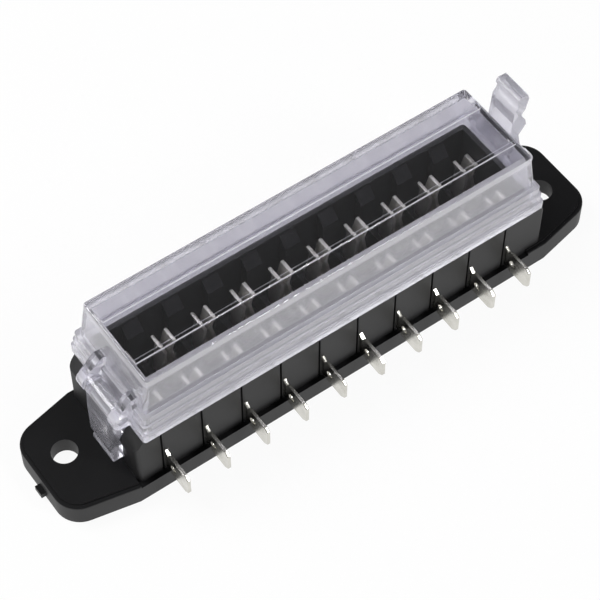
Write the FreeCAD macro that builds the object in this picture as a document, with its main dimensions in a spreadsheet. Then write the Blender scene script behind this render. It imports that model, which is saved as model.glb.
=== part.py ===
import FreeCAD, Part
import Sketcher
import math
import os

# Ten way waterproof fuse box. Millimetres, +Z up, origin on the mounting face under the middle of the base.
# +X runs along the row of ways, -Y is the side that the photograph shows.

doc = FreeCAD.newDocument("fuse_box")
sheet = doc.addObject("Spreadsheet::Sheet", "Sizes")
rows = []


class Length:
    """A size with its number and the spreadsheet expression that gives it."""

    def __init__(self, value, text):
        self.value = value
        self.text = text

    def join(self, other, sign, result):
        text = other.text if isinstance(other, Length) else repr(float(other))
        return Length(result, "(" + self.text + " " + sign + " " + text + ")")

    def __add__(self, other):
        return self.join(other, "+", self.value + number(other))

    def __sub__(self, other):
        return self.join(other, "-", self.value - number(other))

    def __mul__(self, other):
        return self.join(other, "*", self.value * number(other))

    def __truediv__(self, other):
        return self.join(other, "/", self.value / number(other))

    def __neg__(self):
        return Length(-self.value, "(-1 * " + self.text + ")")


def number(item):
    return item.value if isinstance(item, Length) else float(item)


def size(name, value):
    """Write one named size to the spreadsheet and hand it back."""
    rows.append(name)
    cell = "B" + str(len(rows))
    sheet.set("A" + str(len(rows)), name)
    sheet.set(cell, str(value))
    sheet.setAlias(cell, name)
    return Length(float(value), "Sizes." + name)


# Row of ways
way_count = 10
pitch = size("way_pitch", 10.0)
row_y = size("contact_row_offset", 4.8)

# Terminals
sheet_thickness = size("terminal_sheet", 0.8)
contact_length = size("contact_length", 3.8)
contact_width = size("contact_width", 4.12)
contact_height = size("contact_height", 12.0)
contact_knee = size("contact_knee_height", 3.4)
contact_pinch = size("contact_pinch_drop", 3.2)
contact_nip = size("contact_nip_gap", 0.5)
tab_width = size("tab_width", 6.3)
tab_out = size("tab_length_outside", 8.45)
tab_lift = size("tab_to_ledge_gap", 0.55)
tab_chamfer_along = size("tab_tip_chamfer_along", 1.2)
tab_chamfer_up = size("tab_tip_chamfer_up", 0.9)
tab_hole_radius = size("tab_hole_radius", 0.85)
tab_hole_setback = size("tab_hole_setback", 5.4)
tab_start_gap = size("tab_to_plate_edge_gap", 0.6)
root_rise = size("tab_root_rise", 0.3)
root_notch = size("tab_root_notch_depth", 1.0)
root_notch_out = size("tab_root_notch_offset", 1.3)
root_notch_width = size("tab_root_notch_width", 0.4)
neck_cover = size("neck_above_ledge", 1.0)
slot_gap = size("slot_side_gap", 0.06)

# Cavity, collar and body block, counted outwards from the row of contacts
cavity_end_room = size("contact_end_room", 0.44)
cavity_side_room = size("contact_side_room", 2.8)
collar_wall = size("collar_wall", 1.2)
collar_rise = size("collar_rise", 6.0)
shoulder_side = size("shoulder_side_width", 2.5)
shoulder_end = size("shoulder_end_width", 5.0)
shoulder_height = size("shoulder_height", 20.4)
body_corner = size("body_corner_radius", 1.2)
end_slope_run = size("end_slope_run", 2.3)
end_slope_drop = size("end_slope_drop", 3.4)
floor_rise = size("cavity_floor_above_flange", 3.0)
divider_thickness = size("divider_thickness", 1.2)
divider_rise = size("divider_rise", 6.0)
rib_width = size("wall_rib_width", 4.0)
rib_reach = size("wall_rib_reach", 2.3)
rib_drop = size("wall_rib_top_drop", 0.7)
rib_slope = size("wall_rib_slope_drop", 2.6)
groove_offset = size("wall_groove_offset", 2.6)
groove_width = size("wall_groove_width", 0.5)
groove_depth = size("wall_groove_depth", 0.6)
groove_top_room = size("wall_groove_top_room", 1.0)
underside_depth = size("underside_bay_depth", 4.2)
underside_web = size("underside_web", 1.2)
underside_margin = size("underside_side_margin", 1.9)

# Base plate
ledge_width = size("ledge_width", 1.15)
ledge_drop = size("ledge_drop", 1.0)
ledge_past_body = size("ledge_past_body", 0.2)
ledge_past_row = size("ledge_past_row", 4.4)
flange_reach = size("flange_reach", 16.45)
flange_taper = size("flange_end_taper", 3.28)
flange_height = size("flange_height", 6.0)
flange_corner = size("flange_corner_radius", 6.0)
edge_band = size("flange_edge_band", 0.9)
edge_drop = size("flange_edge_drop", 0.3)
edge_round = size("flange_edge_radius", 0.4)
flange_recess = size("flange_underside_recess", 1.5)
skirt_wall = size("skirt_wall", 2.0)
hole_reach = size("fixing_hole_reach", 8.9)
hole_radius = size("fixing_hole_radius", 2.94)
hole_offset = size("fixing_hole_offset", 2.0)
nub_reach = size("gate_nub_reach", 1.1)
nub_width = size("gate_nub_width", 2.6)
nub_height = size("gate_nub_height", 1.4)
nub_low = size("gate_nub_bottom_height", 0.8)
nub_offset = size("gate_nub_offset", 0.75)

# Cover
collar_gap = size("collar_to_cover_gap", 0.4)
cover_wall = size("cover_wall", 1.2)
top_end_wall = size("cover_top_end_wall", 1.0)
top_side_wall = size("cover_top_side_wall", 1.6)
cover_roof = size("cover_roof", 1.7)
dome_height = size("dome_height", 10.3)
dome_end_draft = size("dome_end_draft", 1.4)
dome_side_draft = size("dome_side_draft", 0.56)
dome_corner = size("dome_corner_radius", 0.8)
dome_edge = size("dome_edge_radius", 0.3)
rim_end_band = size("rim_end_width", 1.7)
rim_side_band = size("rim_side_width", 1.88)
rim_height = size("rim_height", 6.9)
rim_clearance = size("rim_to_shoulder_gap", 0.4)
rim_step = size("rim_step", 0.42)
rim_corner = size("rim_corner_radius", 3.0)
cover_rib_spread = size("cover_rib_spread", 6.05)
cover_rib_shift = size("cover_rib_shift", 0.5)
cover_rib_width = size("cover_rib_width", 0.9)
cover_rib_height = size("cover_rib_height", 0.5)
cover_rib_end_gap = size("cover_rib_end_gap", 0.8)

# Seal
seal_width = size("seal_width", 1.2)
seal_height = size("seal_height", 1.8)
seal_side_gap = size("seal_side_gap", 0.05)
seal_room = size("seal_outer_room", 0.2)
seal_corner = size("seal_corner_radius", 1.0)

# Latches
latch_offset = size("latch_offset", 2.5)
latch_width = size("latch_barrel_width", 9.0)
leg_width = size("latch_leg_width", 7.6)
leg_shift = size("latch_leg_shift", 0.35)
latch_side_gap = size("latch_side_gap", 0.25)
pivot_reach = size("latch_pivot_reach", 3.5)
pivot_rise = size("latch_pivot_rise", 4.4)
barrel_radius = size("latch_barrel_radius", 2.2)
pin_radius = size("latch_pin_radius", 1.2)
pin_gap = size("latch_pin_gap", 0.06)
lug_thickness = size("lug_thickness", 2.4)
lug_radius = size("lug_radius", 2.4)
lug_top_drop = size("lug_gusset_drop", 7.0)
lug_top_width = size("lug_gusset_width", 2.7)
barrel_room = size("latch_barrel_room", 0.5)
leg_out = size("latch_leg_outset", 2.45)
foot_gap = size("latch_foot_gap", 1.0)
foot_height = size("latch_foot_height", 3.0)
foot_step = size("latch_foot_step", 0.3)
foot_lip = size("latch_foot_lip", 1.4)
foot_groove = size("latch_foot_groove", 0.45)
foot_chamfer = size("latch_foot_chamfer", 0.4)
catch_setback = size("catch_bar_setback", 2.1)
catch_drop = size("catch_bar_drop", 11.9)
catch_radius = size("catch_bar_radius", 2.0)
catch_gap = size("catch_bar_gap", 0.25)
recess_depth = size("latch_recess_depth", 3.3)
recess_room = size("latch_recess_side_room", 0.6)
open_angle = size("latch_open_angle", 175.0)

# Sizes that follow from those above
half = 0.5
row_half = pitch * ((way_count - 1) * half)
first_way = -row_half
row_in = row_y - contact_length * half
row_out = row_y + contact_length * half
tab_offset = (contact_width - sheet_thickness) * half
cavity_x = row_half + contact_width * half + cavity_end_room
cavity_y = row_out + cavity_side_room
collar_x = cavity_x + collar_wall
collar_y = cavity_y + collar_wall
body_x = collar_x + shoulder_end
body_y = collar_y + shoulder_side
collar_height = shoulder_height + collar_rise
ledge_height = flange_height - ledge_drop
cavity_floor = flange_height + floor_rise
divider_height = cavity_floor + divider_rise
rib_top = collar_height - rib_drop
contact_top = cavity_floor + contact_height
plate_y = body_y + ledge_width
flange_x = body_x + flange_reach
flange_y = plate_y - flange_taper
taper_x = body_x + edge_band - ledge_past_body
tab_low = ledge_height + tab_lift
tab_top = tab_low + tab_width
tab_reach = body_y + tab_out
tab_start = plate_y + tab_start_gap
neck_low = ledge_height + neck_cover
neck_top = tab_top + root_rise
slot_half = sheet_thickness * half + slot_gap
inner_x = collar_x + collar_gap
inner_y = collar_y + collar_gap
dome_foot_x = inner_x + cover_wall
dome_foot_y = inner_y + cover_wall
dome_x = dome_foot_x - dome_end_draft
dome_y = dome_foot_y - dome_side_draft
rim_x = dome_foot_x + rim_end_band
rim_y = dome_foot_y + rim_side_band
rim_low = shoulder_height + rim_clearance
rim_top = rim_low + rim_height
cover_top = rim_top + dome_height
seal_top = shoulder_height + seal_height
seal_x = collar_x + seal_side_gap + seal_width
seal_y = collar_y + seal_side_gap + seal_width
pivot_x = dome_foot_x + pivot_reach
pivot_z = rim_low + pivot_rise
lug_inner = latch_width * half + latch_side_gap
lug_top = cover_top - lug_top_drop
catch_x = pivot_x - catch_setback
catch_z = pivot_z - catch_drop
recess_half = latch_width * half + recess_room
foot_low = flange_height + foot_gap
notch_radius = catch_radius + catch_gap


def plane_of(body, role):
    for feature in body.Origin.OriginFeatures:
        if feature.Role == role:
            return feature
    raise ValueError(role)


def new_body(label):
    body = doc.addObject("PartDesign::Body", label)
    body.Label = label
    return body


def new_sketch(body, name, role, offset=None):
    """A sketch on one of the body's own planes, moved along the plane's normal."""
    sketch = body.newObject("Sketcher::SketchObject", name)
    sketch.AttachmentSupport = (plane_of(body, role), [""])
    sketch.MapMode = "FlatFace"
    if offset is not None:
        sketch.setExpression("AttachmentOffset.Base.z", offset.text)
    return sketch


def hold(sketch, kind, geometry, vertex, item):
    """Tie one coordinate of a sketch point to a size."""
    index = sketch.addConstraint(Sketcher.Constraint(kind, -1, 1, geometry, vertex, number(item)))
    if isinstance(item, Length):
        sketch.setExpression("Constraints[" + str(index) + "]", item.text)


def add_loop(sketch, points):
    """A closed loop of straight lines with each corner tied to its sizes."""
    base = sketch.GeometryCount
    count = len(points)
    corners = [FreeCAD.Vector(number(p[0]), number(p[1]), 0) for p in points]
    for index in range(count):
        start = corners[index]
        end = corners[(index + 1) % count]
        sketch.addGeometry(Part.LineSegment(start, end), False)
    for index in range(count):
        follower = base + (index + 1) % count
        sketch.addConstraint(Sketcher.Constraint("Coincident", base + index, 2, follower, 1))
    for index, point in enumerate(points):
        hold(sketch, "DistanceX", base + index, 1, point[0])
        hold(sketch, "DistanceY", base + index, 1, point[1])


def add_box(sketch, low_x, high_x, low_y, high_y):
    add_loop(sketch, ((low_x, low_y), (high_x, low_y), (high_x, high_y), (low_x, high_y)))


def add_centred_box(sketch, half_x, half_y):
    add_box(sketch, -half_x, half_x, -half_y, half_y)


def add_circle(sketch, x, y, radius):
    centre = FreeCAD.Vector(number(x), number(y), 0)
    geometry = sketch.addGeometry(Part.Circle(centre, FreeCAD.Vector(0, 0, 1), number(radius)), False)
    hold(sketch, "DistanceX", geometry, 3, x)
    hold(sketch, "DistanceY", geometry, 3, y)
    index = sketch.addConstraint(Sketcher.Constraint("Radius", geometry, number(radius)))
    sketch.setExpression("Constraints[" + str(index) + "]", radius.text)


def extrude(body, kind, name, sketch, length=None, symmetric=False, backward=False):
    """A pad or a pocket of a sketch. A pocket without a length goes right through."""
    feature = body.newObject("PartDesign::" + kind, name)
    feature.Profile = sketch
    if symmetric:
        feature.SideType = "Symmetric"
    feature.Reversed = backward
    if length is None:
        feature.Type = "ThroughAll"
    else:
        feature.setExpression("Length", length.text)
    sketch.Visibility = False
    doc.recompute()
    if "Invalid" in feature.State:
        raise ValueError(name + " failed")
    return feature


def pad(body, name, sketch, length, symmetric=False, backward=False):
    return extrude(body, "Pad", name, sketch, length, symmetric, backward)


def pocket(body, name, sketch, length=None, symmetric=False, backward=False):
    return extrude(body, "Pocket", name, sketch, length, symmetric, backward)


def repeat(body, name, features, sketch, spacing, count):
    """A row of copies along the first axis of the sketch."""
    pattern = body.newObject("PartDesign::LinearPattern", name)
    pattern.Originals = features
    pattern.Direction = (sketch, ["H_Axis"])
    pattern.Occurrences = count
    pattern.setExpression("Length", (spacing * (count - 1)).text)
    body.Tip = pattern
    doc.recompute()
    return pattern


def upright_edges(feature, corners):
    """Names of the edges that run along Z at the given places."""
    names = []
    for index, edge in enumerate(feature.Shape.Edges):
        if len(edge.Vertexes) != 2:
            continue
        one = edge.Vertexes[0].Point
        two = edge.Vertexes[1].Point
        if abs(one.x - two.x) > 1e-4 or abs(one.y - two.y) > 1e-4:
            continue
        for corner in corners:
            if abs(one.x - corner[0]) < 1e-3 and abs(one.y - corner[1]) < 1e-3:
                names.append("Edge" + str(index + 1))
    return names


def four_corners(half_x, half_y):
    x = number(half_x)
    y = number(half_y)
    return ((x, y), (-x, y), (-x, -y), (x, -y))


def top_rim(feature, height):
    """Names of the outer edges of the largest flat face that looks up at this height."""
    best = None
    for face in feature.Shape.Faces:
        box = face.BoundBox
        if abs(box.ZMin - number(height)) < 1e-4 and abs(box.ZMax - number(height)) < 1e-4:
            if best is None or face.Area > best.Area:
                best = face
    names = []
    for index, edge in enumerate(feature.Shape.Edges):
        if any(edge.isSame(other) for other in best.OuterWire.Edges):
            names.append("Edge" + str(index + 1))
    return names


def corner_edges(feature, corners, heights):
    """Names of the edges that join two of the given heights near the given corners."""
    names = []
    for index, edge in enumerate(feature.Shape.Edges):
        ends = sorted((vertex.Point for vertex in edge.Vertexes), key=lambda point: point.z)
        if len(ends) != 2 or abs(ends[0].z - number(heights[0])) > 1e-3 or abs(ends[1].z - number(heights[1])) > 1e-3:
            continue
        for corner in corners:
            if abs(ends[0].x - corner[0]) < 1e-3 and abs(ends[0].y - corner[1]) < 1e-3:
                names.append("Edge" + str(index + 1))
    return names


def loft(body, kind, name, low_sketch, high_sketch):
    """A tapered solid added or cut between two outlines."""
    feature = body.newObject("PartDesign::" + kind, name)
    feature.Profile = low_sketch
    feature.Sections = [high_sketch]
    feature.Ruled = True
    low_sketch.Visibility = False
    high_sketch.Visibility = False
    doc.recompute()
    if "Invalid" in feature.State:
        raise ValueError(name + " failed")
    return feature


def fillet(body, name, feature, picks, radius):
    """Round the picked edges."""
    if not picks:
        raise ValueError(name + " found no edge")
    item = body.newObject("PartDesign::Fillet", name)
    item.Base = (feature, picks)
    item.setExpression("Radius", radius.text)
    feature.Visibility = False
    doc.recompute()
    if "Invalid" in item.State:
        raise ValueError(name + " failed")
    return item


# Base housing
base = new_body("base_housing")


def add_plate_outline(sketch, inset):
    """The plate seen from above: straight sides by the body and tapered ends."""
    end_x = flange_x - inset
    end_y = flange_y - inset
    side_y = plate_y - inset
    add_loop(sketch, (
        (-end_x, -end_y), (-taper_x, -side_y), (taper_x, -side_y), (end_x, -end_y),
        (end_x, end_y), (taper_x, side_y), (-taper_x, side_y), (-end_x, end_y)))


field_sketch = new_sketch(base, "field_outline", "XY_Plane")
add_plate_outline(field_sketch, edge_band)
field = pad(base, "raised_field", field_sketch, flange_height)
field_picks = upright_edges(field, four_corners(flange_x - edge_band, flange_y - edge_band))
fillet(base, "field_corners", field, field_picks, flange_corner - edge_band)

plate_sketch = new_sketch(base, "plate_outline", "XY_Plane")
add_plate_outline(plate_sketch, edge_drop * 0)
plate = pad(base, "plate", plate_sketch, flange_height - edge_drop)
plate_picks = upright_edges(plate, four_corners(flange_x, flange_y))
plate_round = fillet(base, "plate_corners", plate, plate_picks, flange_corner)
plate_rim = top_rim(plate_round, flange_height - edge_drop)
fillet(base, "plate_top_edge", plate_round, plate_rim, edge_round)

# The low ledge under the tabs runs past the body at one end and stops short of it at the other
ledge_sketch = new_sketch(base, "ledge_areas", "XY_Plane", flange_height)
for side in (1, -1):
    add_box(ledge_sketch, -(row_half + ledge_past_row) * side, (body_x + ledge_past_body) * side,
            (body_y - ledge_width) * side, (plate_y + ledge_width) * side)
pocket(base, "side_ledges", ledge_sketch, ledge_drop)

body_sketch = new_sketch(base, "body_outline", "XY_Plane")
add_centred_box(body_sketch, body_x, body_y)
block = pad(base, "body_block", body_sketch, shoulder_height)
block_picks = upright_edges(block, four_corners(body_x, body_y))
fillet(base, "body_corners", block, block_picks, body_corner)

slope_sketch = new_sketch(base, "end_slopes", "XZ_Plane")
slope_x = body_x - end_slope_run
slope_z = shoulder_height - end_slope_drop
for side in (1, -1):
    add_loop(slope_sketch, (
        (slope_x * side, shoulder_height), (body_x * side, slope_z), ((body_x + edge_band) * side, slope_z),
        ((body_x + edge_band) * side, shoulder_height + edge_band), (slope_x * side, shoulder_height + edge_band)))
pocket(base, "end_slope_cuts", slope_sketch, plate_y * 4, symmetric=True)

collar_sketch = new_sketch(base, "collar_outline", "XY_Plane", ledge_height)
add_centred_box(collar_sketch, collar_x, collar_y)
collar = pad(base, "collar", collar_sketch, collar_height - ledge_height)
collar_picks = upright_edges(collar, four_corners(collar_x, collar_y))
collar_round = fillet(base, "collar_corners", collar, collar_picks, seal_corner)

cavity_sketch = new_sketch(base, "cavity_outline", "XY_Plane", collar_height)
add_centred_box(cavity_sketch, cavity_x, cavity_y)
pocket(base, "collar_cavity", cavity_sketch, collar_height - cavity_floor)

# Dividers between the ways: a low wall across and a broad sloped rib up each long wall
divider_at = first_way + pitch * half
root_z = cavity_floor - underside_web
wall_mid = cavity_y + collar_wall * half
rib_in = cavity_y - rib_reach
divider_sketch = new_sketch(base, "divider_profile", "YZ_Plane", divider_at)
add_box(divider_sketch, -wall_mid, wall_mid, root_z, divider_height)
divider = pad(base, "divider", divider_sketch, divider_thickness, symmetric=True)
wall_rib_sketch = new_sketch(base, "wall_rib_profile", "YZ_Plane", divider_at)
for side in (1, -1):
    add_loop(wall_rib_sketch, (
        (wall_mid * side, root_z), (wall_mid * side, rib_top), (cavity_y * side, rib_top),
        (rib_in * side, rib_top - rib_slope), (rib_in * side, root_z)))
wall_rib = pad(base, "wall_rib", wall_rib_sketch, rib_width, symmetric=True)
pattern_axis = new_sketch(base, "row_axis", "XY_Plane")
repeat(base, "divider_row", [divider, wall_rib], pattern_axis, pitch, way_count - 1)

# Slots for the terminal necks, and an upright groove in the wall beside each tab
slot_sketch = new_sketch(base, "slot_areas", "XY_Plane", neck_top)
groove_sketch = new_sketch(base, "wall_groove_areas", "XY_Plane", shoulder_height - groove_top_room)
for side in (1, -1):
    slot_at = first_way + tab_offset * side
    groove_at = first_way + groove_offset * side
    add_box(slot_sketch, slot_at - slot_half, slot_at + slot_half, (row_in - slot_gap) * side, (plate_y + ledge_width) * side)
    add_box(groove_sketch, groove_at - groove_width * half, groove_at + groove_width * half,
            (body_y - groove_depth) * side, (body_y + groove_depth) * side)
slot = pocket(base, "slot", slot_sketch, neck_top - neck_low)
groove = pocket(base, "wall_groove", groove_sketch, shoulder_height - groove_top_room - ledge_height)
repeat(base, "slot_row", [slot, groove], pattern_axis, pitch, way_count)

# Underside bays with webs between them, and the recess under each flange
under_sketch = new_sketch(base, "underside_bay_area", "XY_Plane")
under_half = (pitch - underside_web) * half
under_y = body_y - underside_margin
add_box(under_sketch, first_way - under_half, first_way + under_half, -under_y, under_y)
under = pocket(base, "underside_bay", under_sketch, underside_depth, backward=True)
repeat(base, "underside_bay_row", [under], pattern_axis, pitch, way_count)

recess_sketch = new_sketch(base, "flange_recess_areas", "XY_Plane")
for side in (1, -1):
    near_x = (body_x + skirt_wall * half) * side
    far_x = (flange_x - skirt_wall) * side
    near_y = plate_y - skirt_wall * 2
    far_y = flange_y - skirt_wall * 2
    add_loop(recess_sketch, ((near_x, -near_y), (far_x, -far_y), (far_x, far_y), (near_x, near_y)))
pocket(base, "flange_recesses", recess_sketch, flange_recess, backward=True)

hole_sketch = new_sketch(base, "fixing_hole_circles", "XY_Plane")
for side in (1, -1):
    add_circle(hole_sketch, (body_x + hole_reach) * side, hole_offset * -side, hole_radius)
pocket(base, "fixing_holes", hole_sketch, flange_height * 4, symmetric=True)

# Recess for each latch with the round catch bar across it
catch_area = new_sketch(base, "latch_recess_areas", "XY_Plane", shoulder_height)
for side in (1, -1):
    add_box(catch_area, (body_x - recess_depth) * side, (body_x + edge_drop) * side,
            (latch_offset - recess_half) * side, (latch_offset + recess_half) * side)
pocket(base, "latch_recesses", catch_area, shoulder_height - flange_height)
for side, tag in ((1, "right"), (-1, "left")):
    bar_sketch = new_sketch(base, "catch_bar_circle_" + tag, "XZ_Plane", latch_offset * -side)
    add_circle(bar_sketch, catch_x * side, catch_z, catch_radius)
    pad(base, "catch_bar_" + tag, bar_sketch, recess_half * 2 + edge_band, symmetric=True)

nub_sketch = new_sketch(base, "gate_nub_outline", "XY_Plane", nub_low)
nub_half = nub_width * half
add_box(nub_sketch, -flange_x - nub_reach, -flange_x + edge_drop, -nub_offset - nub_half, -nub_offset + nub_half)
pad(base, "gate_nub", nub_sketch, nub_height)


# Terminals: a tab outside that runs through the wall into one arm of a two armed spring contact
def make_terminal(label, place, side):
    body = new_body(label)
    body.setExpression("Placement.Base.x", place.text)
    blade_sketch = new_sketch(body, label + "_blade_outline", "YZ_Plane", tab_offset * side)
    tip_y = tab_reach - tab_chamfer_along
    notch_y = body_y + root_notch_out
    lap = cavity_floor + sheet_thickness
    outline = (
        (row_in, neck_low), (tab_start, neck_low), (tab_start, tab_low), (tip_y, tab_low),
        (tab_reach, tab_low + tab_chamfer_up), (tab_reach, tab_top - tab_chamfer_up), (tip_y, tab_top),
        (notch_y + root_notch_width, tab_top), (notch_y, neck_top - root_notch), (body_y, neck_top),
        (row_out, neck_top), (row_out, lap), (row_in, lap))
    add_loop(blade_sketch, [(point[0] * side, point[1]) for point in outline])
    pad(body, label + "_blade", blade_sketch, sheet_thickness, symmetric=True)
    eye_sketch = new_sketch(body, label + "_eye_circle", "YZ_Plane")
    add_circle(eye_sketch, (tab_reach - tab_hole_setback) * side, tab_low + tab_width * half, tab_hole_radius)
    pocket(body, label + "_eye", eye_sketch, contact_width * 4, symmetric=True)
    clip_sketch = new_sketch(body, label + "_clip_outline", "XZ_Plane", row_out * -side if side > 0 else row_in)
    wide = contact_width * half
    thin = wide - sheet_thickness
    knee = cavity_floor + contact_knee
    pinch = contact_top - contact_pinch
    nip = contact_nip * half
    right = (
        (wide, cavity_floor), (wide, knee), (nip + sheet_thickness, pinch), (wide, contact_top),
        (thin, contact_top), (nip, pinch), (thin, knee), (thin, lap))
    left = [(-point[0], point[1]) for point in reversed(right)]
    add_loop(clip_sketch, list(right) + left)
    pad(body, label + "_clip", clip_sketch, contact_length)
    return body


terminals = []
for index in range(way_count):
    place = first_way + pitch * index
    tag = "_%02d" % (index + 1)
    terminals.append(make_terminal("terminal_near" + tag, place, -1))
    terminals.append(make_terminal("terminal_far" + tag, place, 1))


# Clear cover with stepped rim, two stiffening ribs and a pair of hinge lugs at each end
cover = new_body("cover")
dome_sketch = new_sketch(cover, "dome_side_profile", "XZ_Plane")
add_loop(dome_sketch, ((-dome_foot_x, rim_top), (dome_foot_x, rim_top), (dome_x, cover_top), (-dome_x, cover_top)))
pad(cover, "dome", dome_sketch, dome_foot_y * 2, symmetric=True)
draft_sketch = new_sketch(cover, "dome_end_profile", "YZ_Plane")
for side in (1, -1):
    add_loop(draft_sketch, (
        (dome_foot_y * side, rim_top), (rim_y * side, rim_top), (rim_y * side, cover_top), (dome_y * side, cover_top)))
dome = pocket(cover, "dome_side_draft", draft_sketch, dome_foot_x * 4, symmetric=True)
dome_picks = corner_edges(dome, four_corners(dome_foot_x, dome_foot_y), (rim_top, cover_top))
dome_round = fillet(cover, "dome_corners", dome, dome_picks, dome_corner)
fillet(cover, "dome_top_edge", dome_round, top_rim(dome_round, cover_top), dome_edge)

rim_levels = 3
for level in reversed(range(rim_levels)):
    level_sketch = new_sketch(cover, "rim_outline_" + str(level), "XY_Plane", rim_low)
    level_x = rim_x - rim_step * level
    level_y = rim_y - rim_step * level
    add_centred_box(level_sketch, level_x, level_y)
    step = pad(cover, "rim_" + str(level), level_sketch, rim_height * (level + 1) / rim_levels)
    step_picks = upright_edges(step, four_corners(level_x, level_y))
    fillet(cover, "rim_corners_" + str(level), step, step_picks, rim_corner)

cover_rib_sketch = new_sketch(cover, "cover_rib_areas", "XY_Plane", cover_top - cover_roof * half)
for side in (1, -1):
    rib_mid = cover_rib_spread * side - cover_rib_shift
    add_box(cover_rib_sketch, cover_rib_end_gap - dome_x, dome_x - cover_rib_end_gap,
            rib_mid - cover_rib_width * half, rib_mid + cover_rib_width * half)
pad(cover, "cover_ribs", cover_rib_sketch, cover_rib_height + cover_roof * half)

window_sketch = new_sketch(cover, "latch_windows", "XY_Plane", rim_top)
window_x = pivot_x - barrel_radius - barrel_room
for side in (1, -1):
    add_box(window_sketch, window_x * side, (rim_x + rim_step) * side,
            (latch_offset - lug_inner) * side, (latch_offset + lug_inner) * side)
pocket(cover, "latch_window_cuts", window_sketch, rim_height)

# The lugs run from the end wall out to the pivot, with a gusset up the wall
lug_wall_x = dome_x - top_end_wall * half
nose = 0.8
for side, tag in ((1, "right"), (-1, "left")):
    for step, word in ((1, "outer"), (-1, "inner")):
        reach = latch_offset * side + (lug_inner + lug_thickness * half) * step
        lug_sketch = new_sketch(cover, "lug_outline_" + tag + "_" + word, "XZ_Plane", -reach)
        add_loop(lug_sketch, (
            (lug_wall_x * side, seal_top), (pivot_x * side, pivot_z - lug_radius), (pivot_x * side, pivot_z),
            ((pivot_x + lug_radius * nose) * side, pivot_z + lug_radius * (1 - nose) * 3),
            ((dome_x + lug_top_width) * side, lug_top), (lug_wall_x * side, lug_top)))
        pad(cover, "lug_" + tag + "_" + word, lug_sketch, lug_thickness, symmetric=True)
        eye_sketch = new_sketch(cover, "lug_eye_" + tag + "_" + word, "XZ_Plane", -reach)
        add_circle(eye_sketch, pivot_x * side, pivot_z, lug_radius)
        pad(cover, "lug_round_" + tag + "_" + word, eye_sketch, lug_thickness, symmetric=True)

bore_sketch = new_sketch(cover, "pivot_bores", "XZ_Plane")
for side in (1, -1):
    add_circle(bore_sketch, pivot_x * side, pivot_z, pin_radius + pin_gap)
pocket(cover, "pivot_bore_cuts", bore_sketch, rim_y * 4, symmetric=True)

mouth_sketch = new_sketch(cover, "cover_mouth", "XY_Plane", rim_low)
add_centred_box(mouth_sketch, inner_x, inner_y)
pocket(cover, "cover_mouth_cut", mouth_sketch, rim_height, backward=True)
hollow_low = new_sketch(cover, "hollow_foot_outline", "XY_Plane", rim_top)
add_centred_box(hollow_low, inner_x, inner_y)
hollow_high = new_sketch(cover, "hollow_top_outline", "XY_Plane", cover_top - cover_roof)
add_centred_box(hollow_high, dome_x - top_end_wall, dome_y - top_side_wall)
loft(cover, "SubtractiveLoft", "cover_hollow", hollow_low, hollow_high)

seat_sketch = new_sketch(cover, "seal_seat", "XY_Plane", rim_low)
add_centred_box(seat_sketch, seal_x + seal_room, seal_y + seal_room)
pocket(cover, "seal_seat_cut", seat_sketch, seal_top - rim_low, backward=True)


# Seal that lies on the shoulder round the collar
seal = new_body("cover_seal")
seal_sketch = new_sketch(seal, "seal_outline", "XY_Plane", shoulder_height)
add_centred_box(seal_sketch, seal_x, seal_y)
ring = pad(seal, "seal_ring", seal_sketch, seal_height)
ring_round = fillet(seal, "seal_outer_corners", ring, upright_edges(ring, four_corners(seal_x, seal_y)), seal_corner)
bore = new_sketch(seal, "seal_inner_outline", "XY_Plane", shoulder_height + seal_height)
add_centred_box(bore, collar_x + seal_side_gap, collar_y + seal_side_gap)
pocket(seal, "seal_opening", bore, seal_height)


# Latches: drawn closed at the right-hand end, with the barrel centred on the body's own XZ plane
def make_latch(label):
    body = new_body(label)
    outer = pivot_x + leg_out
    foot_x = outer - foot_step
    knee = foot_low + foot_height
    leg_sketch = new_sketch(body, label + "_leg_outline", "XZ_Plane", -leg_shift)
    add_loop(leg_sketch, (
        (catch_x + catch_radius * 0.85, foot_low), (foot_x - foot_chamfer, foot_low),
        (foot_x, foot_low + foot_chamfer), (foot_x, foot_low + foot_lip),
        (foot_x - foot_groove, foot_low + foot_lip + foot_chamfer), (foot_x - foot_groove, knee),
        (outer, knee + foot_step * 4), (outer, pivot_z - barrel_radius * 2.4),
        (pivot_x + barrel_radius, pivot_z), (pivot_x, pivot_z),
        (pivot_x - barrel_radius * 0.65, pivot_z - barrel_radius * 0.7),
        (pivot_x - barrel_radius * 0.1, pivot_z - barrel_radius * 2.5),
        (catch_x + catch_radius * 0.15, catch_z + notch_radius + catch_radius * 0.75),
        (catch_x + notch_radius * 0.342, catch_z + notch_radius * 0.94),
        (catch_x + notch_radius * 0.669, catch_z - notch_radius * 0.743),
        (catch_x + catch_radius * 0.55, foot_low + foot_lip)))
    pad(body, label + "_leg", leg_sketch, leg_width, symmetric=True)
    barrel_sketch = new_sketch(body, label + "_barrel_circle", "XZ_Plane")
    add_circle(barrel_sketch, pivot_x, pivot_z, barrel_radius)
    pad(body, label + "_barrel", barrel_sketch, latch_width, symmetric=True)
    notch_sketch = new_sketch(body, label + "_notch_circle", "XZ_Plane")
    add_circle(notch_sketch, catch_x, catch_z, notch_radius)
    pocket(body, label + "_notch", notch_sketch, latch_width * 2, symmetric=True)
    pin_sketch = new_sketch(body, label + "_pin_circle", "XZ_Plane")
    add_circle(pin_sketch, pivot_x, pivot_z, pin_radius)
    pad(body, label + "_pins", pin_sketch, (lug_inner + lug_thickness) * 2 - latch_side_gap, symmetric=True)
    return body


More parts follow.
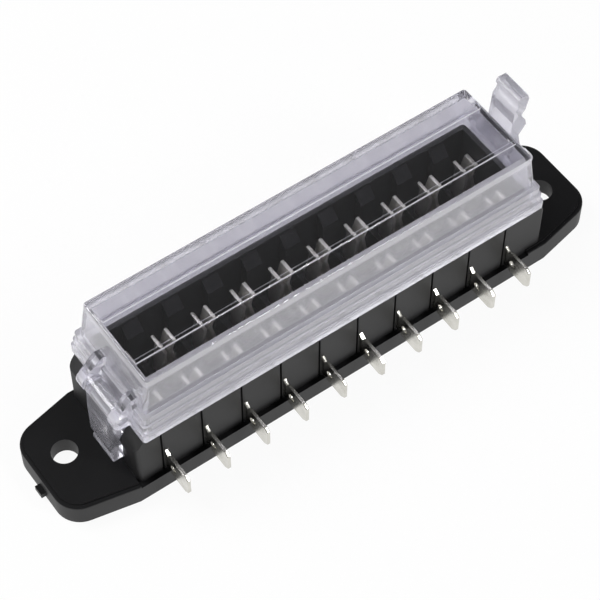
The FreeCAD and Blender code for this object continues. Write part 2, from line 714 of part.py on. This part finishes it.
latch_right = make_latch("latch_right")
latch_left = make_latch("latch_left")
pivot = FreeCAD.Vector(pivot_x.value, 0, pivot_z.value)
swing = FreeCAD.Rotation(FreeCAD.Vector(0, 1, 0), -open_angle.value)
shift = FreeCAD.Vector(0, latch_offset.value, 0)
latch_right.Placement = FreeCAD.Placement(shift, FreeCAD.Rotation(), FreeCAD.Vector()).multiply(
    FreeCAD.Placement(FreeCAD.Vector(), swing, pivot))
turn = FreeCAD.Rotation(FreeCAD.Vector(0, 0, 1), 180)
latch_left.Placement = FreeCAD.Placement(FreeCAD.Vector(0, -latch_offset.value, 0), turn)

doc.recompute()
pieces = [base] + terminals + [cover, seal, latch_left, latch_right]
for item in doc.Objects:
    if "Invalid" in item.State or "Error" in item.State:
        raise ValueError(item.Name + " did not compute")
os.makedirs("parts", exist_ok=True)
for piece in pieces:
    shape = piece.Shape
    if shape.isNull() or not shape.isValid() or len(shape.Solids) != 1:
        raise ValueError(piece.Label + " is not one valid solid")
    shape.exportStep("parts/" + piece.Label + ".step")
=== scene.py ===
import math

import bpy
import numpy as np
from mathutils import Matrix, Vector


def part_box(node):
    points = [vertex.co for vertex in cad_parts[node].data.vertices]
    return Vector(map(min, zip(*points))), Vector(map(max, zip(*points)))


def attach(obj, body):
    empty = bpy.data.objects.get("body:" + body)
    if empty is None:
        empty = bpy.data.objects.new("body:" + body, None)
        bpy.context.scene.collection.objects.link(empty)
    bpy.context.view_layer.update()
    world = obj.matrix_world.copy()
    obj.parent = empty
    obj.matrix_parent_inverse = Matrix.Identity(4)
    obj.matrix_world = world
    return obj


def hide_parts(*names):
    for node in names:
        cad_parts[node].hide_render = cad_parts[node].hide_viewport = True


bl_info = {
    "name": "Fuse box dressing",
    "version": (1, 0, 0),
    "blender": (4, 5, 0),
    "location": "View3D > Sidebar > Fuse Box",
    "description": "Finishes and studio for a ten way sealed fuse box",
    "category": "Object",
}

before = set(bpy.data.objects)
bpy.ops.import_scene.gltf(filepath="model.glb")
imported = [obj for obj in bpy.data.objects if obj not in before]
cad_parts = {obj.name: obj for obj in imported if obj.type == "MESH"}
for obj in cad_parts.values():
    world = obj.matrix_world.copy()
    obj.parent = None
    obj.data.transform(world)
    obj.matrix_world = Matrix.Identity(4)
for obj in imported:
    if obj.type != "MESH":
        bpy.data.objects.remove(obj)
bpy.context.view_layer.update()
MM = 0.001
WHITE = (1, 1, 1, 1)

RIM_LEVELS = 3
LAMP_TARGET = (0, 0, 0.02)
# Each lamp's name, place and side in metres, and power in watts. The key lamp stands behind the box, so that
# the roof mirrors the dark ceiling to the camera and the tops of the contacts catch the lamp.
LAMPS = (
    ("Key", (-0.24, 0.285, 0.525), 0.30, 2.6),
    ("Fill", (0.22, -0.50, 0.42), 0.12, 1.9),
)


def linear(colour):
    """An sRGB hex colour as linear red, green, blue and full alpha. Dark values lie on the straight foot of
    the curve and the others on its power part."""
    parts = [int(colour[i:i + 2], 16) / 255 for i in (1, 3, 5)]
    return tuple(c / 12.92 if c <= 0.04045 else ((c + 0.055) / 1.055) ** 2.4 for c in parts) + (1.0,)


def pattern_scale(size_mm):
    """The Scale of a texture on Object coordinates whose features are about size_mm across."""
    return 1 / (size_mm * MM)


def add_node(tree, kind, inputs=None, **settings):
    """Adds a node, sets its settings and then its inputs, each to a value or to the socket that feeds it."""
    made = tree.nodes.new(kind)
    for name, value in settings.items():
        setattr(made, name, value)
    for name, value in (inputs or {}).items():
        if isinstance(value, bpy.types.NodeSocket):
            tree.links.new(value, made.inputs[name])
        else:
            made.inputs[name].default_value = value
    return made


def new_material(name):
    """An empty material with its node tree, and the output of the object's own coordinates."""
    material = bpy.data.materials.new(name)
    material.use_nodes = True
    tree = material.node_tree
    tree.nodes.clear()
    coords = add_node(tree, "ShaderNodeTexCoord").outputs["Object"]
    return material, tree, coords


def moulded_abs(colour, shine, wells):
    """Black ABS, injection moulded in a tool finished by spark erosion: a fine even grain, satin, with faint flow
    marks. In the wells for the fuses, a box round the origin of which wells is the far corner, and on the faces
    that look up, a dark grey specular tint dims the reflections: painted shade."""
    grain_size, flow_size = 0.35, 14
    grain_height = 0.04 * MM
    looks_up = 0.6
    # Painted shade: this dark grey specular tint dims the reflections in the fuse wells and on faces that look up.
    well_shade_tint = (0.14, 0.14, 0.14, 1)
    material, tree, coords = new_material("Black moulded ABS")
    aside = add_node(tree, "ShaderNodeVectorMath", {0: coords}, operation="ABSOLUTE").outputs["Vector"]
    parts = add_node(tree, "ShaderNodeSeparateXYZ", {"Vector": aside})
    along, across, below = [
        add_node(tree, "ShaderNodeMath", {0: parts.outputs[axis], 1: reach}, operation="LESS_THAN").outputs[0]
        for axis, reach in zip("XYZ", wells)]
    within = add_node(tree, "ShaderNodeMath", {0: along, 1: across}, operation="MULTIPLY").outputs[0]
    geometry = add_node(tree, "ShaderNodeNewGeometry")
    normal = add_node(tree, "ShaderNodeSeparateXYZ", {"Vector": geometry.outputs["True Normal"]})
    upward = add_node(tree, "ShaderNodeMath", {
        0: normal.outputs["Z"], 1: looks_up}, operation="GREATER_THAN").outputs[0]
    either = add_node(tree, "ShaderNodeMath", {0: within, 1: upward}, operation="MAXIMUM").outputs[0]
    # Mask of the painted shade: the wells and the up-facing faces, below the top of the wells.
    shaded_well = add_node(tree, "ShaderNodeMath", {0: either, 1: below}, operation="MULTIPLY").outputs[0]
    shaded_reflection = add_node(tree, "ShaderNodeMixRGB", {"Fac": shaded_well, "Color1": WHITE, "Color2": well_shade_tint})
    grain = add_node(tree, "ShaderNodeTexNoise", {
        "Vector": coords, "Scale": pattern_scale(grain_size), "Detail": 3.0})
    flow = add_node(tree, "ShaderNodeTexNoise", {
        "Vector": coords, "Scale": pattern_scale(flow_size), "Detail": 2.0})
    rough = add_node(tree, "ShaderNodeMapRange", {
        "Value": flow.outputs["Fac"], "To Min": shine - 0.05, "To Max": shine + 0.07})
    bump = add_node(tree, "ShaderNodeBump", {
        "Height": grain.outputs["Fac"], "Strength": 0.25, "Distance": grain_height})
    tint = add_node(tree, "ShaderNodeMixRGB", {
        "Fac": flow.outputs["Fac"], "Color1": linear(colour), "Color2": linear("#1A1A1B")})
    shader = add_node(tree, "ShaderNodeBsdfPrincipled", {
        "Base Color": tint.outputs["Color"], "Roughness": rough.outputs["Result"],
        "IOR": 1.54, "Specular IOR Level": 0.37, "Specular Tint": shaded_reflection.outputs["Color"],
        "Normal": bump.outputs["Normal"]})
    add_node(tree, "ShaderNodeOutputMaterial", {"Surface": shader.outputs["BSDF"]})
    return material


def tinned_brass(colour):
    """Brass strip, tin plated and stamped: bright grey metal with rolling lines along X and soft dull patches.
    The contacts, inside the housing, are tumbled dull."""
    line_size, patch_size = 0.8, 3
    stretch = (8.0, 0.25, 1.0)
    line_height = 0.02 * MM
    contact_end, tab_start = 11 * MM, 13 * MM
    contact_rough = 0.56
    material, tree, coords = new_material("Tin plated brass")
    along = add_node(tree, "ShaderNodeMapping", {"Vector": coords, "Scale": stretch})
    lines = add_node(tree, "ShaderNodeTexNoise", {
        "Vector": along.outputs["Vector"], "Scale": pattern_scale(line_size), "Detail": 4.0})
    patches = add_node(tree, "ShaderNodeTexNoise", {
        "Vector": coords, "Scale": pattern_scale(patch_size), "Detail": 2.0})
    bright = add_node(tree, "ShaderNodeMapRange", {
        "Value": patches.outputs["Fac"], "To Min": 0.16, "To Max": 0.34})
    parts = add_node(tree, "ShaderNodeSeparateXYZ", {"Vector": coords})
    aside = add_node(tree, "ShaderNodeMath", {0: parts.outputs["Y"]}, operation="ABSOLUTE").outputs[0]
    rough = add_node(tree, "ShaderNodeMapRange", {
        "Value": aside, "From Min": contact_end, "From Max": tab_start,
        "To Min": contact_rough, "To Max": bright.outputs["Result"]})
    tone = add_node(tree, "ShaderNodeMixRGB", {
        "Fac": patches.outputs["Fac"], "Color1": linear(colour), "Color2": linear("#C2C0B7")})
    bump = add_node(tree, "ShaderNodeBump", {
        "Height": lines.outputs["Fac"], "Strength": 0.3, "Distance": line_height})
    shader = add_node(tree, "ShaderNodeBsdfPrincipled", {
        "Base Color": tone.outputs["Color"], "Metallic": 1.0,
        "Roughness": rough.outputs["Result"], "Normal": bump.outputs["Normal"]})
    add_node(tree, "ShaderNodeOutputMaterial", {"Surface": shader.outputs["BSDF"]})
    return material


def finish_clear(tree, coords, colour, rough, clearness):
    """Joins a clear plastic's shader to its output. To a lamp it is a lightly tinted pane, so light gets through."""
    grain_size = 0.3
    grain_height = 0.02 * MM
    pane = (0.8, 0.8, 0.82, 1.0)
    grain = add_node(tree, "ShaderNodeTexNoise", {
        "Vector": coords, "Scale": pattern_scale(grain_size), "Detail": 3.0})
    bump = add_node(tree, "ShaderNodeBump", {
        "Height": grain.outputs["Fac"], "Strength": 0.08, "Distance": grain_height})
    shader = add_node(tree, "ShaderNodeBsdfPrincipled", {
        "Base Color": linear(colour), "Roughness": rough, "IOR": 1.585,
        "Transmission Weight": clearness, "Normal": bump.outputs["Normal"]})
    path = add_node(tree, "ShaderNodeLightPath")
    passing = add_node(tree, "ShaderNodeBsdfTransparent", {"Color": pane})
    mixed = add_node(tree, "ShaderNodeMixShader", {
        0: path.outputs["Is Shadow Ray"], 1: shader.outputs["BSDF"], 2: passing.outputs["BSDF"]})
    add_node(tree, "ShaderNodeOutputMaterial", {"Surface": mixed.outputs["Shader"]})


def cloudy(tree, coords, middle, spread):
    """A value that drifts by spread to both sides of the middle, in soft patches of a few millimetres."""
    patch_size = 6
    cloud = add_node(tree, "ShaderNodeTexNoise", {
        "Vector": coords, "Scale": pattern_scale(patch_size), "Detail": 2.0})
    return add_node(tree, "ShaderNodeMapRange", {
        "Value": cloud.outputs["Fac"], "To Min": middle - spread, "To Max": middle + spread}).outputs["Result"]


def faces_inwards(tree, coords):
    """1 on upright faces that look at the middle of the box: there the dot product of place and normal, both
    laid flat, is negative. A ray that comes from inside the plastic sees the normal turned round."""
    well_inside = -3 * MM
    flat = add_node(tree, "ShaderNodeVectorMath", {0: coords, 1: (1.0, 1.0, 0.0)}, operation="MULTIPLY")
    geometry = add_node(tree, "ShaderNodeNewGeometry")
    outward = add_node(tree, "ShaderNodeVectorMath", {
        0: flat.outputs["Vector"], 1: geometry.outputs["True Normal"]}, operation="DOT_PRODUCT")
    turn = add_node(tree, "ShaderNodeMapRange", {
        "Value": geometry.outputs["Backfacing"], "To Min": 1.0, "To Max": -1.0})
    signed = add_node(tree, "ShaderNodeMath", {
        0: outward.outputs["Value"], 1: turn.outputs["Result"]}, operation="MULTIPLY")
    return add_node(tree, "ShaderNodeMath", {
        0: signed.outputs[0], 1: well_inside}, operation="LESS_THAN").outputs[0]


def cover_polycarbonate(colour, roof, rim, satin, clearness, haze):
    """Clear polycarbonate from a polished mould, with blasted inner walls that blur what lies behind them. The
    outer walls have a faint haze, weaker where a ray meets them from inside, and it grows towards the edge of
    the roof: there the extra haze is a painted glow for the light that the roof's edge guides. The rim is a
    little dull and hazy all over. The roof is bright. The sides of the ribs above it are rough, and their milky
    white is a painted highlight for the bright lines that the ribs catch."""
    polish, rim_polish = 0.03, 0.16
    # Painted glow: the haze rises towards the roof's edge, so the tops of the walls look lit by the light that the
    # roof guides.
    edge_start, edge_end, edge_glow_haze = roof - 2.4 * MM, roof - 1.6 * MM, haze + 0.35
    rim_haze = 0.3
    inside_share = 0.4
    upright_below = 0.6
    rib_foot = roof + 0.03 * MM
    # Painted highlight: the rib sides let little light through, so their milky white stands in for the ribs' bright
    # lines.
    rib_highlight_clearness = 0.2
    material, tree, coords = new_material("Clear polycarbonate")
    inner = faces_inwards(tree, coords)
    height = add_node(tree, "ShaderNodeSeparateXYZ", {"Vector": coords}).outputs["Z"]
    geometry = add_node(tree, "ShaderNodeNewGeometry")
    normal = add_node(tree, "ShaderNodeSeparateXYZ", {"Vector": geometry.outputs["True Normal"]})
    level = add_node(tree, "ShaderNodeMath", {0: normal.outputs["Z"]}, operation="ABSOLUTE").outputs[0]
    upright = add_node(tree, "ShaderNodeMath", {0: level, 1: upright_below}, operation="LESS_THAN").outputs[0]
    above = add_node(tree, "ShaderNodeMath", {0: height, 1: rib_foot}, operation="GREATER_THAN").outputs[0]
    # Mask of the painted highlight on the rib sides, which also sets their roughness.
    painted_rib_highlight = add_node(tree, "ShaderNodeMath", {0: above, 1: upright}, operation="MULTIPLY").outputs[0]
    blasted = add_node(tree, "ShaderNodeMath", {0: inner, 1: painted_rib_highlight}, operation="MAXIMUM").outputs[0]
    low = add_node(tree, "ShaderNodeMath", {0: height, 1: rim}, operation="LESS_THAN").outputs[0]
    shine = add_node(tree, "ShaderNodeMapRange", {"Value": low, "To Min": polish, "To Max": rim_polish})
    rough = add_node(tree, "ShaderNodeMapRange", {
        "Value": blasted, "To Min": shine.outputs["Result"], "To Max": cloudy(tree, coords, satin, 0.05)})
    wall = add_node(tree, "ShaderNodeMapRange", {
        "Value": height, "From Min": edge_start, "From Max": edge_end, "To Min": haze, "To Max": edge_glow_haze})
    veil = add_node(tree, "ShaderNodeMapRange", {
        "Value": low, "To Min": wall.outputs["Result"], "To Max": rim_haze})
    steep = add_node(tree, "ShaderNodeMath", {0: 1.0, 1: level}, operation="SUBTRACT").outputs[0]
    front = add_node(tree, "ShaderNodeMapRange", {
        "Value": geometry.outputs["Backfacing"], "To Min": 1.0, "To Max": inside_share})
    facing = add_node(tree, "ShaderNodeMath", {
        0: steep, 1: front.outputs["Result"]}, operation="MULTIPLY").outputs[0]
    reached = add_node(tree, "ShaderNodeMath", {0: facing, 1: low}, operation="MAXIMUM").outputs[0]
    veiled = add_node(tree, "ShaderNodeMath", {
        0: veil.outputs["Result"], 1: reached}, operation="MULTIPLY").outputs[0]
    outside = add_node(tree, "ShaderNodeMath", {0: 1.0, 1: veiled}, operation="SUBTRACT").outputs[0]
    walls = add_node(tree, "ShaderNodeMapRange", {"Value": inner, "To Min": outside, "To Max": clearness})
    passed = add_node(tree, "ShaderNodeMapRange", {
        "Value": painted_rib_highlight, "To Min": walls.outputs["Result"], "To Max": rib_highlight_clearness})
    finish_clear(tree, coords, colour, rough.outputs["Result"], passed.outputs["Result"])
    return material


def latch_polycarbonate(colour, satin, clearness):
    """Clear polycarbonate from a plain mould: hazy all over and a little dull."""
    material, tree, coords = new_material("Hazy polycarbonate")
    finish_clear(tree, coords, colour, cloudy(tree, coords, satin, 0.04), clearness)
    return material


def silicone(colour):
    """Soft silicone rubber: dull, slightly cloudy."""
    cloud_size = 5
    cloud_height = 0.05 * MM
    material, tree, coords = new_material("Grey silicone rubber")
    cloud = add_node(tree, "ShaderNodeTexNoise", {
        "Vector": coords, "Scale": pattern_scale(cloud_size), "Detail": 2.0})
    rough = add_node(tree, "ShaderNodeMapRange", {
        "Value": cloud.outputs["Fac"], "To Min": 0.5, "To Max": 0.65})
    bump = add_node(tree, "ShaderNodeBump", {
        "Height": cloud.outputs["Fac"], "Strength": 0.2, "Distance": cloud_height})
    shader = add_node(tree, "ShaderNodeBsdfPrincipled", {
        "Base Color": linear(colour), "Roughness": rough.outputs["Result"], "IOR": 1.41,
        "Normal": bump.outputs["Normal"]})
    add_node(tree, "ShaderNodeOutputMaterial", {"Surface": shader.outputs["BSDF"]})
    return material


def coat(piece, material):
    """Makes the material the piece's only one."""
    piece.data.materials.clear()
    piece.data.materials.append(material)
    return piece


def sharpen_rim(node, length, width, step, plain, sharp):
    """A copy of the cover whose rim corners have a smaller radius. The rim has three levels, each step smaller
    than the one below. In each, the points that lie on the corner's circle, plain from its centre, keep their
    direction from the centre and move in to the distance sharp from a centre nearer the corner."""
    corner_slack, circle_slack = 0.01 * MM, 0.05 * MM
    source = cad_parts[node]
    mesh = source.data.copy()
    points = np.empty(len(mesh.vertices) * 3, dtype=np.float32)
    mesh.vertices.foreach_get("co", points)
    points = points.reshape(-1, 3).astype(float)
    flat = points[:, :2]
    sides = np.where(flat < 0, -1.0, 1.0)
    reach = np.abs(flat)
    for level in range(RIM_LEVELS):
        corner = np.array((length, width)) / 2 - step * level
        spoke = reach - (corner - plain)
        far = np.hypot(spoke[:, 0], spoke[:, 1])
        on_arc = (spoke > -corner_slack).all(axis=1) & (np.abs(far - plain) < circle_slack)
        flat[on_arc] = (sides * (corner - sharp + spoke * (sharp / plain)))[on_arc]
    mesh.vertices.foreach_set("co", points.astype(np.float32).ravel())
    mesh.update()
    piece = bpy.data.objects.new("clear_" + node, mesh)
    bpy.context.scene.collection.objects.link(piece)
    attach(piece, node)
    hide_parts(node)
    return piece


def soften(piece, width_mm):
    """Rounds a piece's edges: its triangles are joined into flat faces, then each sharp edge is bevelled."""
    weld = piece.modifiers.new("Weld", "WELD")
    weld.merge_threshold = 0.0005 * MM
    flat = piece.modifiers.new("Flat faces", "DECIMATE")
    flat.decimate_type = "DISSOLVE"
    flat.angle_limit = math.radians(0.5)
    edge = piece.modifiers.new("Edges", "BEVEL")
    edge.width = width_mm * MM
    edge.segments = 3
    edge.limit_method = "ANGLE"
    edge.angle_limit = math.radians(35)
    piece.data.shade_smooth()
    shade = piece.modifiers.new("Flat shading of flat faces", "WEIGHTED_NORMAL")
    shade.weight = 100
    shade.keep_sharp = True


class FuseBoxLooks(bpy.types.PropertyGroup):
    """Colours and finishes of the box."""
    housing: bpy.props.StringProperty(
        name="Housing", description="sRGB colour of the base", default="#141415")
    metal: bpy.props.StringProperty(
        name="Terminals", description="sRGB colour of the tin plating", default="#E2E0DA")
    clear: bpy.props.StringProperty(
        name="Cover", description="sRGB tint of the clear parts", default="#EAE9EF")
    latch: bpy.props.StringProperty(
        name="Latches", description="sRGB tint of the latches", default="#D6D5DC")
    seal: bpy.props.StringProperty(
        name="Seal", description="sRGB colour of the seal", default="#8E8E90")
    housing_rough: bpy.props.FloatProperty(
        name="Housing roughness", description="Mean roughness of the base", default=0.5, min=0.05, max=1)
    wells: bpy.props.FloatVectorProperty(
        name="Wells", description="Half length, half width and height of the fuse wells in millimetres",
        default=(50.9, 9.6, 26.2), min=0, max=100)
    wall_rough: bpy.props.FloatProperty(
        name="Wall roughness", description="Roughness of the blasted cover walls", default=0.17, min=0, max=1)
    wall_clear: bpy.props.FloatProperty(
        name="Wall clearness", description="Share of the light that the blasted walls let through",
        default=0.82, min=0, max=1)
    haze: bpy.props.FloatProperty(
        name="Haze", description="Share of the light that the outer walls scatter", default=0.16, min=0, max=1)
    rim_length: bpy.props.FloatProperty(
        name="Rim length", description="Length of the cover's rim in millimetres",
        default=104.0, min=10, max=300)
    rim_width: bpy.props.FloatProperty(
        name="Rim width", description="Width of the cover's rim in millimetres",
        default=28.36, min=10, max=100)
    rim_step: bpy.props.FloatProperty(
        name="Rim step", description="How far each level of the rim stands in, in millimetres",
        default=0.42, min=0, max=2)
    plain_corner: bpy.props.FloatProperty(
        name="Plain corner", description="Corner radius of the plain cover's rim in millimetres",
        default=3.0, min=0.1, max=10)
    rim_corner: bpy.props.FloatProperty(
        name="Rim corner", description="Corner radius of the finished rim in millimetres",
        default=0.8, min=0.1, max=10)
    rim_top: bpy.props.FloatProperty(
        name="Rim top", description="Height of the top of the cover's rim in millimetres",
        default=27.72, min=0, max=40)
    rib_height: bpy.props.FloatProperty(
        name="Rib height", description="Height of the ribs on the roof in millimetres",
        default=0.5, min=0, max=2)
    latch_rough: bpy.props.FloatProperty(
        name="Latch roughness", description="Mean roughness of the latches", default=0.16, min=0, max=1)
    latch_clear: bpy.props.FloatProperty(
        name="Latch clearness", description="Share of the light that the latches let through",
        default=0.8, min=0, max=1)
    edge: bpy.props.FloatProperty(
        name="Edge radius", description="Rounding of moulded edges in millimetres",
        default=0.12, min=0.01, max=0.5)
    cover_edge: bpy.props.FloatProperty(
        name="Cover edge radius", description="Rounding of the cover's edges in millimetres",
        default=0.18, min=0.01, max=0.5)
    metal_edge: bpy.props.FloatProperty(
        name="Metal edge radius", description="Rounding of the terminals' edges in millimetres",
        default=0.32, min=0.01, max=0.4)


class FuseBoxStudio(bpy.types.PropertyGroup):
    """Camera and light."""
    lens: bpy.props.FloatProperty(
        name="Lens", description="Focal length in millimetres on a 36 mm sensor", default=124.827, min=20, max=300)
    place: bpy.props.FloatVectorProperty(
        name="Camera", description="Where the camera stands", default=(-0.150774, -0.207645, 0.384077),
        subtype="TRANSLATION", unit="LENGTH")
    aim: bpy.props.FloatVectorProperty(
        name="Aim", description="The camera's rotation", subtype="EULER",
        default=(math.radians(34.583), math.radians(0.008), math.radians(-35.394)))
    sky: bpy.props.FloatProperty(
        name="Tent light", description="Strength of the light tent", default=0.6, min=0, max=5)
    ceiling: bpy.props.FloatProperty(
        name="Ceiling light", description="Strength of the tent overhead", default=0.17, min=0, max=5)


class FUSEBOX_OT_housing(bpy.types.Operator):
    """Finish the black housing"""
    bl_idname = "fusebox.housing"
    bl_label = "Housing"

    def execute(self, context):
        looks = context.scene.fuse_box_looks
        black = moulded_abs(looks.housing, looks.housing_rough, [reach * MM for reach in looks.wells])
        soften(coat(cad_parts["base_housing"], black), looks.edge)
        return {"FINISHED"}


class FUSEBOX_OT_terminals(bpy.types.Operator):
    """Finish the twenty terminals"""
    bl_idname = "fusebox.terminals"
    bl_label = "Terminals"

    def execute(self, context):
        looks = context.scene.fuse_box_looks
        metal = tinned_brass(looks.metal)
        for name in sorted(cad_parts):
            if name.startswith("terminal_"):
                soften(coat(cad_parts[name], metal), looks.metal_edge)
        return {"FINISHED"}


class FUSEBOX_OT_cover(bpy.types.Operator):
    """Finish the clear cover"""
    bl_idname = "fusebox.cover"
    bl_label = "Cover"

    def execute(self, context):
        looks = context.scene.fuse_box_looks
        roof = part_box("cover")[1].z - looks.rib_height * MM
        clear = cover_polycarbonate(
            looks.clear, roof, looks.rim_top * MM, looks.wall_rough, looks.wall_clear, looks.haze)
        cover = sharpen_rim("cover", looks.rim_length * MM, looks.rim_width * MM, looks.rim_step * MM,
                            looks.plain_corner * MM, looks.rim_corner * MM)
        coat(cover, clear)
        soften(cover, looks.cover_edge)
        return {"FINISHED"}


class FUSEBOX_OT_seal(bpy.types.Operator):
    """Finish the seal"""
    bl_idname = "fusebox.seal"
    bl_label = "Seal"

    def execute(self, context):
        coat(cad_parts["cover_seal"], silicone(context.scene.fuse_box_looks.seal))
        return {"FINISHED"}


class FUSEBOX_OT_latches(bpy.types.Operator):
    """Finish the two latches"""
    bl_idname = "fusebox.latches"
    bl_label = "Latches"

    def execute(self, context):
        looks = context.scene.fuse_box_looks
        hazy = latch_polycarbonate(looks.latch, looks.latch_rough, looks.latch_clear)
        for name in ("latch_left", "latch_right"):
            soften(coat(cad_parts[name], hazy), looks.edge)
        return {"FINISHED"}


class FUSEBOX_OT_stage(bpy.types.Operator):
    """Set up floor, light and camera"""
    bl_idname = "fusebox.stage"
    bl_label = "Stage"

    def execute(self, context):
        studio = context.scene.fuse_box_studio
        scene = context.scene
        scene.view_settings.view_transform = "Standard"
        make_floor()
        make_sky(scene, studio.sky, studio.ceiling)
        for name, place, side, power in LAMPS:
            make_lamp(name, place, LAMP_TARGET, side, power)
        data = bpy.data.cameras.new("Photo camera")
        data.sensor_width = 36
        data.lens = studio.lens
        data.clip_start = 0.01
        camera = bpy.data.objects.new("Photo camera", data)
        camera.location = studio.place
        camera.rotation_euler = studio.aim
        scene.collection.objects.link(camera)
        scene.camera = camera
        return {"FINISHED"}


def seen_directly(tree):
    """1 for a ray that comes straight from the camera, or by way of metal or clear plastic."""
    path = add_node(tree, "ShaderNodeLightPath")
    first = add_node(tree, "ShaderNodeMath", {
        0: path.outputs["Is Camera Ray"], 1: path.outputs["Is Transmission Ray"]}, operation="MAXIMUM")
    both = add_node(tree, "ShaderNodeMath", {
        0: first.outputs[0], 1: path.outputs["Is Glossy Ray"]}, operation="MAXIMUM")
    return both.outputs[0]


def make_floor():
    """A white floor, evened out to plain white for the camera, with part of its shadow kept."""
    half, drop = 2.0, 0.05 * MM
    evened = 0.93
    corners = [(-half, -half, 0), (half, -half, 0), (half, half, 0), (-half, half, 0)]
    mesh = bpy.data.meshes.new("Floor")
    mesh.from_pydata(corners, [], [(0, 1, 2, 3)])
    floor = bpy.data.objects.new("Floor", mesh)
    floor.location.z = -drop
    bpy.context.scene.collection.objects.link(floor)
    material, tree = new_material("White paper")[:2]
    paper = add_node(tree, "ShaderNodeBsdfDiffuse", {"Color": (0.9, 0.9, 0.9, 1.0)})
    even = add_node(tree, "ShaderNodeEmission", {"Color": WHITE, "Strength": 1.0})
    share = add_node(tree, "ShaderNodeMath", {0: seen_directly(tree), 1: evened}, operation="MULTIPLY")
    mixed = add_node(tree, "ShaderNodeMixShader", {
        0: share.outputs[0], 1: paper.outputs["BSDF"], 2: even.outputs["Emission"]})
    add_node(tree, "ShaderNodeOutputMaterial", {"Surface": mixed.outputs["Shader"]})
    mesh.materials.append(material)


def make_sky(scene, strength, ceiling):
    """A light tent: white to the camera, and as light a pale ring round a dark ceiling."""
    ring_top, ceiling_edge = 0.2, 0.75
    world = bpy.data.worlds.new("Light tent")
    world.use_nodes = True
    scene.world = world
    tree = world.node_tree
    tree.nodes.clear()
    coords = add_node(tree, "ShaderNodeTexCoord").outputs["Generated"]
    height = add_node(tree, "ShaderNodeSeparateXYZ", {"Vector": coords}).outputs["Z"]
    falling = add_node(tree, "ShaderNodeMapRange", {
        "Value": height, "From Min": ring_top, "From Max": ceiling_edge, "To Min": strength, "To Max": ceiling})
    soft = add_node(tree, "ShaderNodeBackground", {"Color": WHITE, "Strength": falling.outputs["Result"]})
    path = add_node(tree, "ShaderNodeLightPath")
    white = add_node(tree, "ShaderNodeBackground", {"Color": WHITE, "Strength": 1.0})
    mixed = add_node(tree, "ShaderNodeMixShader", {
        0: path.outputs["Is Camera Ray"], 1: soft.outputs["Background"], 2: white.outputs["Background"]})
    add_node(tree, "ShaderNodeOutputWorld", {"Surface": mixed.outputs["Shader"]})


def make_lamp(name, place, target, side, power):
    """A square soft box that faces the target."""
    data = bpy.data.lights.new(name, "AREA")
    data.size = side
    data.energy = power
    lamp = bpy.data.objects.new(name, data)
    away = np.array(place) - np.array(target)
    reach = float(np.linalg.norm(away[:2]))
    lamp.location = place
    lamp.rotation_euler = (math.atan2(reach, away[2]), 0, math.atan2(away[0], -away[1]))
    bpy.context.scene.collection.objects.link(lamp)


class FUSEBOX_PT_panel(bpy.types.Panel):
    """Panel with the looks, the studio and one button for each piece"""
    bl_idname = "FUSEBOX_PT_panel"
    bl_label = "Fuse Box"
    bl_space_type = "VIEW_3D"
    bl_region_type = "UI"
    bl_category = "Fuse Box"

    def draw(self, context):
        for group in (context.scene.fuse_box_looks, context.scene.fuse_box_studio):
            for name in group.__annotations__:
                self.layout.prop(group, name)
        for operator in OPERATORS:
            self.layout.operator(operator.bl_idname)


OPERATORS = (
    FUSEBOX_OT_housing, FUSEBOX_OT_terminals, FUSEBOX_OT_cover,
    FUSEBOX_OT_seal, FUSEBOX_OT_latches, FUSEBOX_OT_stage)
CLASSES = (FuseBoxLooks, FuseBoxStudio, *OPERATORS, FUSEBOX_PT_panel)


def register():
    for item in CLASSES:
        bpy.utils.register_class(item)
    bpy.types.Scene.fuse_box_looks = bpy.props.PointerProperty(type=FuseBoxLooks)
    bpy.types.Scene.fuse_box_studio = bpy.props.PointerProperty(type=FuseBoxStudio)


def unregister():
    del bpy.types.Scene.fuse_box_studio
    del bpy.types.Scene.fuse_box_looks
    for item in reversed(CLASSES):
        bpy.utils.unregister_class(item)


def main():
    register()
    bpy.ops.fusebox.housing()
    bpy.ops.fusebox.terminals()
    bpy.ops.fusebox.cover()
    bpy.ops.fusebox.seal()
    bpy.ops.fusebox.latches()
    bpy.ops.fusebox.stage()


if __name__ == "__main__":
    main()
